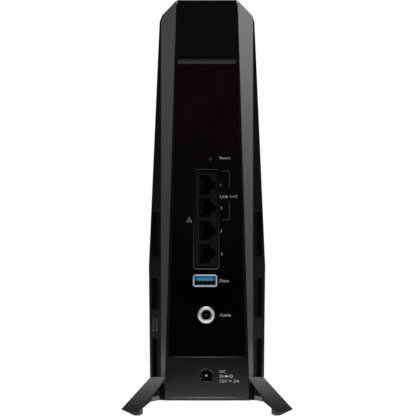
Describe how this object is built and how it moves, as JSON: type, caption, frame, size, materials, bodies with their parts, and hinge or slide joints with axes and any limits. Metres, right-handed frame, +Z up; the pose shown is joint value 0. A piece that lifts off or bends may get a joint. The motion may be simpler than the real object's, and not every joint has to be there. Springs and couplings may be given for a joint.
{
  "type": "cable modem",
  "caption": "Tall tapered cable modem router on two splayed stands, with network, data, coaxial and power sockets down the rear, side vents and side buttons",
  "frame": {"origin": "on the floor under the middle of the body", "axes": "+Z up, the port panel faces -Y, +X to the right when looking at the ports"},
  "size_m": [0.1048, 0.1828, 0.254],
  "materials": {
    "gloss_black": "polished piano black",
    "satin_black": "fine spark-eroded texture",
    "inner_black": "plain moulded",
    "corner_grey": "gunmetal paint with fine upright brushing",
    "stand_grey": "satin dark grey",
    "foot_rubber": "matt",
    "screw_steel": "zinc plated",
    "label_stock": "satin printed film",
    "button_black": "satin",
    "button_grey": "plain moulded",
    "switch_black": "plain moulded",
    "jack_black": "glass-filled nylon",
    "contact_gold": "gold flash",
    "port_steel": "nickel plated",
    "port_blue": "moulded blue",
    "coax_nickel": "nickel plated",
    "insulator_black": "plain moulded",
    "board_green": "solder mask",
    "shield_tin": "tinned",
    "pad_grey": "soft gap filler",
    "heatsink_aluminium": "milled",
    "chip_black": "moulded epoxy",
    "capacitor_sleeve": "shrink sleeve",
    "spacer_brass": "turned",
    "foam": "closed-cell foam",
    "lead_jacket": "thin cable jacket",
    "led_white": "moulded lamp",
    "clear_plastic": "clear moulded",
    "ribbon_white": "flat cable film"
  },
  "bodies": {
    "modem": {"rear_frame": "gloss_black", "io_panel": "gloss_black", "left_side_panel": "satin_black", "right_side_panel": "satin_black", "rear_left_trim": "corner_grey", "rear_right_trim": "corner_grey", "front_left_trim": "corner_grey", "front_right_trim": "corner_grey", "front_panel": "gloss_black", "top_grille": "satin_black", "base_tray": "satin_black", "left_vent_grille": "satin_black", "right_vent_grille": "satin_black", "left_stand": "stand_grey", "right_stand": "stand_grey", "foot_pads": "foot_rubber", "stand_screws": "screw_steel", "base_screws": "screw_steel", "rating_plate": "label_stock", "reset_switch": "switch_black", "button_board": "board_green", "pairing_switch": "switch_black", "wireless_switch": "switch_black", "lan_housing": "jack_black", "lan_contacts": "contact_gold", "usb_shell": "port_steel", "usb_core": "port_blue", "usb_contacts": "contact_gold", "coax_barrel": "coax_nickel", "coax_insulator": "insulator_black", "coax_contact": "contact_gold", "power_jack": "jack_black", "power_pin": "port_steel", "power_spring": "port_steel", "chassis": "inner_black", "main_board": "board_green", "board_screws": "screw_steel", "lan_magnetics": "chip_black", "tuner_shield": "shield_tin", "processor_shield": "shield_tin", "thermal_pad": "pad_grey", "main_heatsink": "heatsink_aluminium", "memory_chips": "chip_black", "capacitors": "capacitor_sleeve", "inductors": "chip_black", "wifi_board": "board_green", "wifi_spacers": "spacer_brass", "wifi_shield": "shield_tin", "wifi_heatsink": "heatsink_aluminium", "antennas": "board_green", "antenna_pads": "foam", "antenna_leads": "lead_jacket", "led_board": "board_green", "status_leds": "led_white", "light_guide": "clear_plastic", "led_ribbon": "ribbon_white"},
    "reset_key": {"reset_button": "button_grey"},
    "pairing_key": {"pairing_button": "button_black"},
    "wireless_key": {"wireless_button": "button_black"}
  },
  "joints": [
    {"name": "reset_press", "type": "slide", "parent": "modem", "child": "reset_key", "axis": [0, 1, 0], "range_m": [0, 0.0008], "stiffness_N_per_m": 1500},
    {"name": "pairing_press", "type": "slide", "parent": "modem", "child": "pairing_key", "axis": [1, 0, 0], "range_m": [0, 0.0008], "stiffness_N_per_m": 1800},
    {"name": "wireless_press", "type": "slide", "parent": "modem", "child": "wireless_key", "axis": [1, 0, 0], "range_m": [0, 0.0008], "stiffness_N_per_m": 1800}
  ]
}
